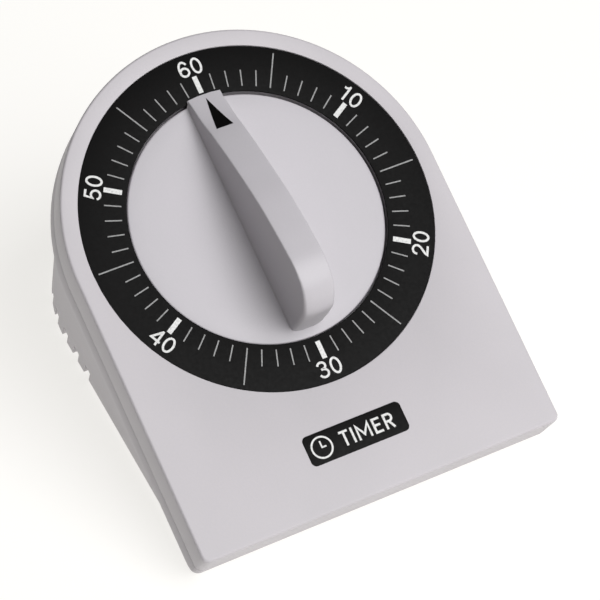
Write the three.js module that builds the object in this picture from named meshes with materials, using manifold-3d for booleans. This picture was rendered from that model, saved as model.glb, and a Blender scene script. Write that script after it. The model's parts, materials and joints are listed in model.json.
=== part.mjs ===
// Wind-up kitchen timer: a wedge-shaped case with a sloping dial face, a finger-grip knob,
// and a brass clockwork movement that strikes a bell. Millimetres, +Z up, front towards -Y.
//
// Most pieces are made in the face frame: the origin is the dial's centre on the face, x runs to
// the right, y up the face and z out of it. A depth is a distance behind the face, so z = -depth.

import * as THREE from "three";
import { mergeVertices } from "three/addons/utils/BufferGeometryUtils.js";
import Module from "manifold-3d";

const wasm = await Module();
wasm.setup();

// ---------------------------------------------------------------- driving dimensions

const GAP = 0.3; // clearance between pieces that touch
const FIT = 0.15; // clearance of a shaft in its hole

const FACE_TILT = THREE.MathUtils.degToRad(31.58); // slope of the face above the table
const HALF_WIDTH = 43.1; // half the face's width, and the radius of its arched top
const FACE_BOTTOM = -64.9; // the face's lower edge, below the dial's centre
const CORNER_RADIUS = 1.6;
const EDGE_RADIUS = 0.5; // rounding of the face's front edge
const ARCH_STEPS = 32;
const ROUND_STEPS = 44; // facets of the dial's large circles

const WALL = 2;
const FACE_THICKNESS = 2.4;
const SHELL_DEPTH = 7; // front shell, measured behind the face
const FRONT_DEPTH = 9.5; // of the case's front wall, down to the base
const FLANGE_BACK = 11; // back of the rear housing's flush flange
const HOUSING_INSET = 1.5; // of the wall from the flange, if it ran straight on to the flange
const SHOULDER_BACK = 19; // a shoulder slopes from the flange's back in to the wall here
const HOUSING_DRAFT = Math.tan(THREE.MathUtils.degToRad(9));
const HOUSING_BACK = 74; // deeper than the wedge is anywhere, before the base cuts it

const RING_OUTER = 39.2;
const RING_INNER = 29;
const RING_FRONT = 0.25; // the printed ring lies a little below the face
const RING_THICKNESS = 0.5;

const WELL_FLOOR = 4.2; // front of the floor that the knob turns over
const KNOB_RADIUS = 28.4;
const KNOB_TOP = 1.2; // the disc's front, behind the face
const KNOB_THICKNESS = 2.6;
const HUB_RADIUS = 4;
const HUB_BACK = 7.8;

const BASE_THICKNESS = 2;
const FOOT_RADIUS = 5;
const FOOT_PROUD = 0.8; // how far the feet lift the case
const FOOT_SUNK = 0.6;
const SCREW_RADIUS = 1.3;
const SCREW_HEAD_RADIUS = 2.6;
const SCREW_SLOT_HALF = 0.3;
const BASE_BOSS_RADIUS = 3.8;
const BASE_BOSS_TOP = 7.4; // height above the case's base
const WEB_HALF = 1.2; // half the thickness of the web between a boss and the wall
const CASE_BOSS_RADIUS = 3;
const CASE_SCREW_TIP = 3.2; // depths of the screws' front ends
const MOVEMENT_SCREW_TIP = 5.5;
const MOVEMENT_BOSS_RADIUS = 2.8;
const LUG_HALF_WIDTH = 3.6; // lugs between the case screws and the wall
const LUG_INWARD = 3.8;
const LUG_OUTWARD = 6;
const VENT_COUNT = 6; // slots in the base plate, below the bell
const VENT_PITCH = 6;
const VENT_WIDTH = 2.4;
const VENT_HALF_LENGTH = 13;
const FIRST_VENT = 50; // distance back from the base's front edge

const NOTCH_PITCH = 6.6; // sound outlets in the foot of the housing's wall
const NOTCH_COUNT = 5;
const FIRST_NOTCH = 64; // distance back from the base's front edge
const NOTCH_WIDTH = 2.4;
const NOTCH_LENGTH = 6.4; // up the wall from the base, square to the face
const NOTCH_INTO_BASE = 3.5; // the base plate's edge is notched in line with the wall

const PLATE_THICKNESS = 1.2; // movement plates
const FRONT_PLATE = 8.4; // front of the front plate
const BACK_PLATE = 26.2; // front of the back plate
const PLATE_HALF = 25;
const PLATE_CORNER = 10;
const PLATE_CENTRE_Y = 3;

const BELL_CENTRE = new THREE.Vector2(0, 6);
const BELL_RADIUS = 18;
const BELL_MOUTH = 29.8;
const BELL_TOP = 39.2;
const BELL_THICKNESS = 0.8;

// Train of wheels: each entry's wheel drives the next entry's pinion.
const MAIN_RADIUS = 2;
const MAIN_ARBOR_FRONT = 0.6;
const MAIN_PIVOT = 1.2;
const ARBOR_RADIUS = 0.8;
const PIVOT_RADIUS = 0.5;
const PINION_TEETH = 12;
const MAIN_MESH = { teeth: 60, module: 0.55, angle: THREE.MathUtils.degToRad(172) };
const SECOND_MESH = { teeth: 48, module: 0.5, angle: THREE.MathUtils.degToRad(55) };
const THIRD_MESH = { teeth: 48, module: 0.4, angle: THREE.MathUtils.degToRad(18) };
const MAIN_LAYER = [15.4, 16.6];
const SECOND_LAYER = [17.8, 18.8];
const THIRD_LAYER = [20, 21];
const ESCAPE_LAYER = [22.1, 22.9];
const CAM_LAYER = [23.8, 25];
const SPRING_LAYER = [10.2, 14.8];
const ESCAPE_TEETH = 20;
const ESCAPE_RADIUS = 8;
const VERGE_DISTANCE = 10.8; // from the escape wheel's centre
const HAMMER_PIVOT = new THREE.Vector2(21, -4);
const STOP_RADIUS = 12; // the stop post's distance from the main arbor

// ---------------------------------------------------------------- places

const sine = Math.sin(FACE_TILT);
const cosine = Math.cos(FACE_TILT);

// The wedge's base starts at the foot of the front wall. Table coordinates have the dial's centre
// above y = 0 while the pieces are made; the whole timer is centred at the end.
const dialHeight = FOOT_PROUD - FACE_BOTTOM * sine + FRONT_DEPTH * cosine;
const baseFrontY = FACE_BOTTOM * cosine + FRONT_DEPTH * sine;
const housingTop = HALF_WIDTH - HOUSING_INSET; // radius of the housing's arch at the flange

const timer = new THREE.Group();
const face = new THREE.Group();
face.rotation.x = FACE_TILT;
face.position.set(0, 0, dialHeight);
face.updateMatrix();
timer.add(face);
const toFace = face.matrix.clone().invert();

function polar(centre, radius, angle) {
  return new THREE.Vector2(
    centre.x + radius * Math.cos(angle),
    centre.y + radius * Math.sin(angle),
  );
}

function centreDistance(mesh) {
  return (mesh.module * (mesh.teeth + PINION_TEETH)) / 2;
}

const mainCentre = new THREE.Vector2(0, 0);
const secondCentre = polar(mainCentre, centreDistance(MAIN_MESH), MAIN_MESH.angle);
const thirdCentre = polar(secondCentre, centreDistance(SECOND_MESH), SECOND_MESH.angle);
const escapeCentre = polar(thirdCentre, centreDistance(THIRD_MESH), THIRD_MESH.angle);
const vergeCentre = polar(escapeCentre, VERGE_DISTANCE, 0);

const trainCentres = [secondCentre, thirdCentre, escapeCentre, vergeCentre, HAMMER_PIVOT];
const pillarCentres = [-1, 1].flatMap((side) => [
  new THREE.Vector2(20 * side, -17),
  new THREE.Vector2(20.5 * side, 23),
]);
const movementScrewCentres = [
  new THREE.Vector2(-13, -19),
  new THREE.Vector2(13, -19),
  new THREE.Vector2(8, 25),
];
const caseScrewCentres = [
  new THREE.Vector2(-35.5, -50),
  new THREE.Vector2(35.5, -50),
  new THREE.Vector2(0, 35.5),
];
// Base screws and feet, as [x, distance back from the base's front edge].
const baseScrewPlaces = [[-32.5, 27], [32.5, 27], [-26, 80.5], [26, 80.5]];
const footPlaces = [[-26, 10], [26, 10], [-18, 94], [18, 94]];

// ---------------------------------------------------------------- solids

function signedVolume(positions, index) {
  const a = new THREE.Vector3();
  const b = new THREE.Vector3();
  const c = new THREE.Vector3();
  let volume = 0;
  for (let i = 0; i < index.length; i += 3) {
    a.fromArray(positions, index[i] * 3);
    b.fromArray(positions, index[i + 1] * 3);
    c.fromArray(positions, index[i + 2] * 3);
    volume += a.dot(b.cross(c));
  }
  return volume;
}

// Turns a closed three.js geometry into a solid with its faces pointing out.
function solidOf(geometry) {
  const bare = geometry.clone();
  bare.deleteAttribute("normal");
  bare.deleteAttribute("uv");
  const merged = mergeVertices(bare, 1e-4);
  const positions = merged.attributes.position.array;
  const kept = [];
  for (let i = 0; i < merged.index.count; i += 3) {
    const [a, b, c] = [0, 1, 2].map((k) => merged.index.getX(i + k));
    if (a !== b && b !== c && c !== a) {
      kept.push(a, b, c);
    }
  }
  if (signedVolume(positions, kept) < 0) {
    for (let i = 0; i < kept.length; i += 3) {
      [kept[i], kept[i + 1]] = [kept[i + 1], kept[i]];
    }
  }
  return new wasm.Manifold(new wasm.Mesh({
    numProp: 3,
    vertProperties: Float32Array.from(positions),
    triVerts: Uint32Array.from(kept),
  }));
}

function geometryOf(solid) {
  const mesh = solid.getMesh();
  const geometry = new THREE.BufferGeometry();
  geometry.setAttribute("position", new THREE.BufferAttribute(mesh.vertProperties, 3));
  geometry.setIndex(new THREE.BufferAttribute(mesh.triVerts, 1));
  geometry.computeVertexNormals();
  return geometry;
}

function united(...solids) {
  return solids.reduce((whole, solid) => whole.add(solid));
}

function cutAll(solid, cutters) {
  return cutters.reduce((left, cutter) => left.subtract(cutter), solid);
}

// A flat outline, with optional holes, made solid between two depths behind the face.
function slab(points, front, back, holes = []) {
  const shape = new THREE.Shape(points);
  shape.holes = holes.map((hole) => new THREE.Path(hole));
  const geometry = new THREE.ExtrudeGeometry(shape, { depth: back - front, bevelEnabled: false });
  return solidOf(geometry.translate(0, 0, -back));
}

function circle(centre, radius, steps = 24) {
  return Array.from({ length: steps }, (_, i) => polar(centre, radius, (2 * Math.PI * i) / steps));
}

function rod(centre, radius, front, back, steps = 16) {
  return slab(circle(centre, radius, steps), front, back);
}

// A turned piece: the profile is a list of [radius, depth] that starts and ends on the axis,
// or closes on itself.
function turned(centre, profile, steps = 32) {
  const points = profile.map(([radius, depth]) => new THREE.Vector2(radius, -depth));
  const geometry = new THREE.LatheGeometry(points, steps);
  return solidOf(geometry.rotateX(Math.PI / 2).translate(centre.x, centre.y, 0));
}

// Joins rings of equally many points into one closed body, with flat ends.
function loft(rings) {
  const count = rings[0].length;
  const positions = rings.flat().flatMap((point) => point.toArray());
  const index = [];
  for (let ring = 0; ring + 1 < rings.length; ring += 1) {
    for (let i = 0; i < count; i += 1) {
      const a = ring * count + i;
      const b = ring * count + ((i + 1) % count);
      index.push(a, b, b + count, a, b + count, a + count);
    }
  }
  const last = (rings.length - 1) * count;
  for (let i = 1; i + 1 < count; i += 1) {
    index.push(0, i + 1, i, last, last + i, last + i + 1);
  }
  const geometry = new THREE.BufferGeometry();
  geometry.setAttribute("position", new THREE.Float32BufferAttribute(positions, 3));
  geometry.setIndex(index);
  return solidOf(geometry);
}

// Outline of the face: straight sides, small lower corners and an arched top.
function tombstone(halfWidth, bottom, corner) {
  const points = [];
  const cornerSteps = 3;
  for (let i = 0; i <= cornerSteps; i += 1) {
    const angle = Math.PI + (Math.PI / 2) * (i / cornerSteps);
    const centre = new THREE.Vector2(-halfWidth + corner, bottom + corner);
    points.push(polar(centre, corner, angle));
  }
  for (let i = 0; i <= cornerSteps; i += 1) {
    const angle = -Math.PI / 2 + (Math.PI / 2) * (i / cornerSteps);
    const centre = new THREE.Vector2(halfWidth - corner, bottom + corner);
    points.push(polar(centre, corner, angle));
  }
  for (let i = 0; i <= ARCH_STEPS; i += 1) {
    points.push(polar(mainCentre, halfWidth, (Math.PI * i) / ARCH_STEPS));
  }
  return points;
}

function atDepth(points, depth) {
  return points.map((point) => new THREE.Vector3(point.x, point.y, -depth));
}

// A rear-housing shape, drawn in from the housing's outer wall by an inset.
function draftedBlock(inset, front) {
  const ring = (depth) => {
    const halfWidth = housingTop - inset - (depth - FLANGE_BACK) * HOUSING_DRAFT;
    return atDepth(tombstone(halfWidth, FACE_BOTTOM + inset, CORNER_RADIUS - 1), depth);
  };
  return loft([ring(front), ring(HOUSING_BACK)]);
}

// A box in table coordinates, brought into the face frame. Heights count from the case's base.
function tableBox(low, high) {
  const size = high.map((value, axis) => value - low[axis]);
  const box = new THREE.BoxGeometry(...size);
  box.translate((low[0] + high[0]) / 2, (low[1] + high[1]) / 2, (low[2] + high[2]) / 2);
  return solidOf(box.translate(0, 0, FOOT_PROUD).applyMatrix4(toFace));
}

// An upright turned piece standing on the base, [radius, height] from the case's base.
function upright([x, back], profile, steps = 16) {
  const points = profile.map(([radius, height]) => new THREE.Vector2(radius, height));
  const geometry = new THREE.LatheGeometry(points, steps).rotateX(Math.PI / 2);
  geometry.translate(x, baseFrontY + back, FOOT_PROUD);
  return solidOf(geometry.applyMatrix4(toFace));
}

// ---------------------------------------------------------------- materials

const paints = {
  shell: { color: 0xcdcacf, roughness: 0.42, metalness: 0 },
  ink: { color: 0x191819, roughness: 0.45, metalness: 0 },
  rubber: { color: 0x2a2a2a, roughness: 0.85, metalness: 0 },
  brass: { color: 0xc9a24a, roughness: 0.35, metalness: 1 },
  steel: { color: 0xa9abad, roughness: 0.3, metalness: 1 },
  springSteel: { color: 0x4f5a66, roughness: 0.35, metalness: 1 },
  bellMetal: { color: 0xd9dadb, roughness: 0.15, metalness: 1 },
};

function addPiece(name, solid, paint) {
  const material = new THREE.MeshStandardMaterial(paints[paint]);
  const mesh = new THREE.Mesh(geometryOf(solid), material);
  mesh.name = name;
  face.add(mesh);
}

// ---------------------------------------------------------------- case

// The face panel with its skirt, the round well that the knob sits in, and the screw bosses.
function frontShell() {
  const edge = 3;
  const rings = [];
  for (let i = 0; i <= edge; i += 1) {
    const angle = (Math.PI / 2) * (i / edge);
    const inset = EDGE_RADIUS * (1 - Math.sin(angle));
    const depth = EDGE_RADIUS * (1 - Math.cos(angle));
    const outline = tombstone(HALF_WIDTH - inset, FACE_BOTTOM + inset, CORNER_RADIUS - inset / 2);
    rings.push(atDepth(outline, depth));
  }
  rings.push(atDepth(tombstone(HALF_WIDTH, FACE_BOTTOM, CORNER_RADIUS), SHELL_DEPTH));
  const inner = tombstone(HALF_WIDTH - WALL, FACE_BOTTOM + WALL, CORNER_RADIUS / 2);
  const wellRadius = RING_INNER + GAP;
  const tray = loft(rings).subtract(slab(inner, FACE_THICKNESS, SHELL_DEPTH + 1));
  const well = rod(mainCentre, wellRadius + WALL, FACE_THICKNESS - 1, SHELL_DEPTH, ROUND_STEPS);
  const bosses = [
    ...movementScrewCentres.map((at) => rod(at, MOVEMENT_BOSS_RADIUS, SHELL_DEPTH - 1, FRONT_PLATE - GAP, 12)),
    ...caseScrewCentres.map((at) => rod(at, CASE_BOSS_RADIUS, FACE_THICKNESS - 1, SHELL_DEPTH, 12)),
  ];
  const ringSeatDepth = RING_FRONT + RING_THICKNESS + GAP;
  const ringSeat = rod(mainCentre, RING_OUTER + GAP, -1, ringSeatDepth, ROUND_STEPS);
  const badgeSeat = slab(badgeOutline(GAP), -1, 1.1);
  const cuts = [
    ringSeat,
    badgeSeat,
    rod(mainCentre, wellRadius, -1, WELL_FLOOR, ROUND_STEPS),
    rod(mainCentre, HUB_RADIUS + 2 * FIT, 0, SHELL_DEPTH + 1),
    ...movementScrewCentres.map((at) => rod(at, SCREW_RADIUS + FIT, MOVEMENT_SCREW_TIP - GAP, FRONT_PLATE, 8)),
    ...caseScrewCentres.map((at) => rod(at, SCREW_RADIUS + FIT, CASE_SCREW_TIP - 2 * GAP, SHELL_DEPTH + 1, 8)),
  ];
  return cutAll(united(tray, well, ...bosses), cuts);
}

function badgeOutline(extra) {
  const centre = new THREE.Vector2(-1, -51.4);
  const corner = 1.2 + extra;
  const halfLength = 11.8 + extra;
  const halfHeight = 3.4 + extra;
  const quarters = [[1, 1], [-1, 1], [-1, -1], [1, -1]];
  return quarters.flatMap(([sideX, sideY], quarter) => {
    const hub = new THREE.Vector2(
      centre.x + sideX * (halfLength - corner),
      centre.y + sideY * (halfHeight - corner),
    );
    return [0, 1, 2, 3].map((i) => polar(hub, corner, (Math.PI / 2) * (quarter + i / 3)));
  });
}

// Depth of the base behind the face, at a height y up the face.
function baseDepth(y) {
  return FRONT_DEPTH + ((y - FACE_BOTTOM) * sine) / cosine;
}

// Half the width of the housing's foot at a height y up the face.
function wallHalfWidth(y) {
  const radius = housingTop - (baseDepth(y) - FLANGE_BACK) * HOUSING_DRAFT;
  return y > 0 ? Math.sqrt(radius * radius - y * y) : radius;
}

// The sound outlets: slots in both walls, square to the face and open at the base. They reach
// the given distance past the walls' inner sides.
function notches(reach) {
  return Array.from({ length: NOTCH_COUNT }, (_, i) => {
    const y = FACE_BOTTOM + (FIRST_NOTCH + i * NOTCH_PITCH) * cosine;
    const throat = wallHalfWidth(y) - WALL - reach;
    return [-1, 1].map((side) => bar(
      new THREE.Vector2(side * throat, y),
      new THREE.Vector2(side * HALF_WIDTH, y),
      NOTCH_WIDTH / 2,
      baseDepth(y) - NOTCH_LENGTH,
      HOUSING_BACK,
    ));
  }).flat();
}

// The flush flange, the sloping shoulder and the drafted wall, all as one solid block.
function housingBlock() {
  const rim = tombstone(HALF_WIDTH, FACE_BOTTOM, CORNER_RADIUS);
  const wallHalf = housingTop - (SHOULDER_BACK - FLANGE_BACK) * HOUSING_DRAFT;
  const wall = tombstone(wallHalf, FACE_BOTTOM, CORNER_RADIUS - 1);
  const shoulder = loft([
    atDepth(rim, SHELL_DEPTH + GAP),
    atDepth(rim, FLANGE_BACK),
    atDepth(wall, SHOULDER_BACK),
  ]);
  return united(shoulder, draftedBlock(0, FLANGE_BACK));
}

// The housing is open towards the front shell and at the base.
function rearHousing() {
  const envelope = housingBlock();
  const shell = envelope.subtract(draftedBlock(WALL, SHELL_DEPTH - 1));
  const lugs = caseScrewCentres.map((at) => slab(lugOutline(at), SHELL_DEPTH + GAP, FLANGE_BACK - 1));
  const bosses = baseScrewPlaces.map((place) => upright(place, [
    [0, BASE_THICKNESS + GAP],
    [BASE_BOSS_RADIUS, BASE_THICKNESS + GAP],
    [BASE_BOSS_RADIUS, BASE_BOSS_TOP],
    [0, BASE_BOSS_TOP],
  ]));
  const webs = baseScrewPlaces.map(([x, back]) => {
    const wallX = x + 10 * Math.sign(x);
    const y = baseFrontY + back;
    return tableBox(
      [Math.min(x, wallX), y - WEB_HALF, BASE_THICKNESS + GAP],
      [Math.max(x, wallX), y + WEB_HALF, BASE_BOSS_TOP],
    );
  });
  const inside = united(...lugs, ...bosses, ...webs).intersect(envelope);
  const below = tableBox([-60, -100, -60], [60, 120, 0]);
  const holeRadius = SCREW_RADIUS + FIT;
  const holeTop = BASE_BOSS_TOP - 0.8;
  const screwHoles = [
    ...baseScrewPlaces.map((place) => upright(place, [
      [0, 0],
      [holeRadius, 0],
      [holeRadius, holeTop],
      [0, holeTop],
    ], 8)),
    ...caseScrewCentres.map((at) => rod(at, SCREW_RADIUS + GAP, SHELL_DEPTH, FLANGE_BACK, 16)),
  ];
  return cutAll(united(shell, inside), [below, ...screwHoles, ...notches(GAP)]);
}

// A lug that ties a case screw to the nearest stretch of the wall.
function lugOutline(at) {
  const toWall = at.x === 0 ? new THREE.Vector2(0, 1) : new THREE.Vector2(Math.sign(at.x), 0);
  const outward = toWall.clone().multiplyScalar(LUG_OUTWARD);
  const across = new THREE.Vector2(-toWall.y, toWall.x).multiplyScalar(LUG_HALF_WIDTH);
  const inward = toWall.clone().multiplyScalar(-LUG_INWARD);
  return [
    at.clone().add(inward).sub(across),
    at.clone().add(outward).sub(across),
    at.clone().add(outward).add(across),
    at.clone().add(inward).add(across),
  ];
}

// The bottom cover, with sunk seats for the feet and screw heads and slots below the bell.
function basePlate() {
  const layer = tableBox([-60, -100, 0], [60, 120, BASE_THICKNESS]);
  const body = draftedBlock(WALL + GAP, FLANGE_BACK).intersect(layer);
  const seats = footPlaces.map((place) => {
    const ceiling = FOOT_SUNK + GAP;
    return upright(place, [[0, -1], [FOOT_RADIUS + GAP, -1], [FOOT_RADIUS + GAP, ceiling], [0, ceiling]]);
  });
  const screws = baseScrewPlaces.map((place) => upright(place, [
    [0, -1],
    [SCREW_HEAD_RADIUS + GAP, -1],
    [SCREW_HEAD_RADIUS + GAP, 1.1],
    [SCREW_RADIUS + 0.4, 1.1],
    [SCREW_RADIUS + 0.4, 3],
    [0, 3],
  ]));
  const vents = Array.from({ length: VENT_COUNT }, (_, i) => {
    const y = baseFrontY + FIRST_VENT + i * VENT_PITCH;
    return tableBox([-VENT_HALF_LENGTH, y, -1], [VENT_HALF_LENGTH, y + VENT_WIDTH, 3]);
  });
  return cutAll(body, [...seats, ...screws, ...vents, ...notches(NOTCH_INTO_BASE)]);
}

function foot(place) {
  return upright(place, [
    [0, -FOOT_PROUD],
    [FOOT_RADIUS - 0.4, -FOOT_PROUD],
    [FOOT_RADIUS, -FOOT_PROUD + 0.4],
    [FOOT_RADIUS, FOOT_SUNK],
    [0, FOOT_SUNK],
  ]);
}

function baseScrew(place) {
  const x = place[0];
  const y = baseFrontY + place[1];
  const blank = upright(place, [
    [0, 0.1],
    [SCREW_HEAD_RADIUS, 0.1],
    [SCREW_HEAD_RADIUS, 0.8],
    [SCREW_RADIUS, 0.8],
    [SCREW_RADIUS, 6.3],
    [0, 6.3],
  ], 12);
  const slot = tableBox([x - 2, y - SCREW_SLOT_HALF, -1], [x + 2, y + SCREW_SLOT_HALF, 0.45]);
  return blank.subtract(slot);
}

// A screw driven from behind: its head is the deepest part.
function screw(at, tip, headFront, headBack) {
  const blank = turned(at, [
    [0, tip],
    [SCREW_RADIUS, tip],
    [SCREW_RADIUS, headFront],
    [SCREW_HEAD_RADIUS, headFront],
    [SCREW_HEAD_RADIUS, headBack],
    [0, headBack],
  ], 12);
  const left = new THREE.Vector2(at.x - 2, at.y);
  const right = new THREE.Vector2(at.x + 2, at.y);
  return blank.subtract(bar(left, right, SCREW_SLOT_HALF, headBack - 0.4, headBack + 1));
}

function dialRing() {
  const outer = circle(mainCentre, RING_OUTER, ROUND_STEPS);
  const inner = circle(mainCentre, RING_INNER, ROUND_STEPS);
  return slab(outer, RING_FRONT, RING_FRONT + RING_THICKNESS, [inner]);
}

// ---------------------------------------------------------------- knob

const GRIP_TIP_RADIUS = 29.3; // the pointer end reaches just over the ring's inner edge
const GRIP_CREST = [ // [y, height above the face] of the ridge line, from pointer end to thumb end
  [29.4, 0.4], [24.6, 2], [21.7, 3.2], [17.7, 5.2], [11, 8], [6.5, 9.7], [0, 12], [-7, 13.7],
  [-12, 14.6], [-16, 15.1], [-19, 14.8], [-21.5, 14], [-23.2, 12.7], [-24.7, 10.9], [-25.9, 8.6],
  [-26.3, 5.4],
];
const GRIP_CREST_STEPS = 32;
const GRIP_SIDES = [ // [y, half-width at the disc, half-width at the crest, height of the crest]
  [30, 4.1, 3.85, 0.5], [17.7, 4.05, 3.7, 5.2], [6.5, 4.05, 3.65, 9.7], [-7, 4, 3.65, 13.7],
  [-16, 3.9, 3.6, 15.1], [-27, 3.75, 3.5, 15.1],
];
const GRIP_CEILING = -20; // a depth well in front of the crest
const GRIP_ROOT = KNOB_TOP + 0.6; // the grip's underside, sunk in the disc
const POINTER_TIP = 28.2;
const POINTER_BASE = 20;
const POINTER_HALF = 2;
const POINTER_SPAN = [-9, 0.2]; // depths that take in the crest at the pointer
const POINTER_THICKNESS = 0.4;
const POINTER_POCKET = 0.7;

// The grip's side view, as wide as is needed.
function gripProfile() {
  const crest = new THREE.SplineCurve(GRIP_CREST.map(([y, height]) => new THREE.Vector2(y, height)));
  const points = crest.getPoints(GRIP_CREST_STEPS);
  const front = new THREE.Vector2(points[0].x, -GRIP_ROOT);
  const rear = new THREE.Vector2(points.at(-1).x + 0.2, -GRIP_ROOT);
  const shape = new THREE.Shape([front, ...points, rear]);
  const geometry = new THREE.ExtrudeGeometry(shape, { depth: 12, bevelEnabled: false });
  const [x, y, z] = [0, 1, 2].map((axis) => new THREE.Vector3().setComponent(axis, 1));
  return solidOf(geometry.translate(0, 0, -6).applyMatrix4(new THREE.Matrix4().makeBasis(y, z, x)));
}

// The grip's slightly leaning sides, carried on a little above its crest.
function gripSides() {
  return loft(GRIP_SIDES.map(([y, footHalf, crestHalf, height]) => {
    const above = (height + 1 + GRIP_ROOT) / (height + GRIP_ROOT);
    const topHalf = THREE.MathUtils.lerp(footHalf, crestHalf, above);
    return [
      new THREE.Vector3(-footHalf, y, -GRIP_ROOT - 0.1),
      new THREE.Vector3(footHalf, y, -GRIP_ROOT - 0.1),
      new THREE.Vector3(topHalf, y, height + 1),
      new THREE.Vector3(-topHalf, y, height + 1),
    ];
  }));
}

// The pointer end is round in plan and its lip clears the ring.
function grip() {
  const lipUnderside = GAP - RING_FRONT + 0.05;
  const reach = united(
    rod(mainCentre, KNOB_RADIUS, GRIP_CEILING, HUB_BACK, ROUND_STEPS),
    rod(mainCentre, GRIP_TIP_RADIUS, GRIP_CEILING, -lipUnderside, ROUND_STEPS),
  );
  return gripProfile().intersect(gripSides()).intersect(reach);
}

// The triangle through which the pointer and its pocket are cut from the grip's crest.
function pointerPrism(extra) {
  return slab([
    new THREE.Vector2(0, POINTER_TIP + extra),
    new THREE.Vector2(-POINTER_HALF - extra, POINTER_BASE - extra),
    new THREE.Vector2(POINTER_HALF + extra, POINTER_BASE - extra),
  ], ...POINTER_SPAN);
}

function knob() {
  const rounding = 0.4;
  const disc = turned(mainCentre, [
    [0, KNOB_TOP],
    [KNOB_RADIUS - rounding, KNOB_TOP],
    [KNOB_RADIUS, KNOB_TOP + rounding],
    [KNOB_RADIUS, KNOB_TOP + KNOB_THICKNESS],
    [HUB_RADIUS, KNOB_TOP + KNOB_THICKNESS],
    [HUB_RADIUS, HUB_BACK],
    [0, HUB_BACK],
  ], ROUND_STEPS);
  const bore = rod(mainCentre, MAIN_RADIUS + FIT, MAIN_ARBOR_FRONT - GAP, HUB_BACK + 1);
  const pocket = pointerPrism(FIT).subtract(grip().translate([0, 0, -POINTER_POCKET]));
  return cutAll(united(disc, grip()), [bore, pocket]);
}

function pointerMark() {
  const whole = grip();
  const skin = whole.subtract(whole.translate([0, 0, -POINTER_THICKNESS]));
  return skin.intersect(pointerPrism(0));
}

// ---------------------------------------------------------------- movement

// Each tooth's flank is a list of [height above the pitch circle in modules, share of half a tooth].
const WHEEL_FLANK = [[-1.3, 1.1], [0.9, 0.3]];
const PINION_FLANK = [[-1.3, 1], [0.7, 0.3]];

function toothedOutline(centre, teeth, module, flank, toothAngle) {
  const pitchRadius = (module * teeth) / 2;
  const halfTooth = (Math.PI / teeth) * 0.42;
  const rising = flank.map(([height, share]) => [pitchRadius + height * module, -share]);
  const falling = flank.map(([height, share]) => [pitchRadius + height * module, share]).reverse();
  const sides = [...rising, ...falling];
  const points = [];
  for (let i = 0; i < teeth; i += 1) {
    const middle = toothAngle + (2 * Math.PI * i) / teeth;
    points.push(...sides.map(([r, k]) => polar(centre, r, middle + k * halfTooth)));
  }
  return points;
}

// A wheel with arms: windows between the rim and the hub.
function wheelWindows(centre, rim, hub, arms) {
  const armHalf = 1;
  return Array.from({ length: arms }, (_, i) => {
    const start = (2 * Math.PI * i) / arms;
    const end = (2 * Math.PI * (i + 1)) / arms;
    const outer = Array.from({ length: 6 }, (_unused, k) => {
      const margin = Math.asin(armHalf / rim);
      return polar(centre, rim, THREE.MathUtils.lerp(start + margin, end - margin, k / 5));
    });
    const inner = Array.from({ length: 3 }, (_unused, k) => {
      const margin = Math.asin(armHalf / hub);
      return polar(centre, hub, THREE.MathUtils.lerp(end - margin, start + margin, k / 2));
    });
    return [...outer, ...inner];
  });
}

function wheel(centre, mesh, layer, bore, arms) {
  const rim = (mesh.module * mesh.teeth) / 2 - 2.2;
  const holes = [circle(centre, bore, 20), ...wheelWindows(centre, rim, bore + 2.2, arms)];
  return slab(toothedOutline(centre, mesh.teeth, mesh.module, WHEEL_FLANK, mesh.angle), ...layer, holes);
}

// A steel arbor with a pivot at each end and, if it is driven, a pinion cut in it.
function arbor(centre, drivenBy, layer) {
  const front = FRONT_PLATE + 0.1;
  const back = BACK_PLATE + PLATE_THICKNESS - 0.1;
  const shoulderFront = FRONT_PLATE + PLATE_THICKNESS + GAP;
  const shoulderBack = BACK_PLATE - GAP;
  const shaft = turned(centre, [
    [0, front],
    [PIVOT_RADIUS, front],
    [PIVOT_RADIUS, shoulderFront],
    [ARBOR_RADIUS, shoulderFront],
    [ARBOR_RADIUS, shoulderBack],
    [PIVOT_RADIUS, shoulderBack],
    [PIVOT_RADIUS, back],
    [0, back],
  ], 12);
  if (!drivenBy) {
    return shaft;
  }
  const gapAngle = drivenBy.angle + Math.PI;
  const toothAngle = gapAngle + Math.PI / PINION_TEETH;
  const leaves = toothedOutline(centre, PINION_TEETH, drivenBy.module, PINION_FLANK, toothAngle);
  return shaft.add(slab(leaves, layer[0] - 0.3, layer[1] + 0.3));
}

function mainArbor() {
  const pivotFront = BACK_PLATE - GAP;
  const end = BACK_PLATE + PLATE_THICKNESS;
  return turned(mainCentre, [
    [0, MAIN_ARBOR_FRONT],
    [MAIN_RADIUS, MAIN_ARBOR_FRONT],
    [MAIN_RADIUS, pivotFront],
    [MAIN_PIVOT, pivotFront],
    [MAIN_PIVOT, end],
    [0, end],
  ], 16);
}

// Saw-toothed escape wheel.
function escapeWheel() {
  const points = [];
  for (let i = 0; i < ESCAPE_TEETH; i += 1) {
    const start = (2 * Math.PI * i) / ESCAPE_TEETH;
    const pitch = (2 * Math.PI) / ESCAPE_TEETH;
    points.push(polar(escapeCentre, ESCAPE_RADIUS - 1.8, start));
    points.push(polar(escapeCentre, ESCAPE_RADIUS, start + 0.12 * pitch));
    points.push(polar(escapeCentre, ESCAPE_RADIUS, start + 0.2 * pitch));
    points.push(polar(escapeCentre, ESCAPE_RADIUS - 1.8, start + 0.6 * pitch));
  }
  const holes = [
    circle(escapeCentre, ARBOR_RADIUS + FIT, 16),
    ...wheelWindows(escapeCentre, ESCAPE_RADIUS - 3.2, 2.4, 4),
  ];
  return slab(points, ...ESCAPE_LAYER, holes);
}

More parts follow.
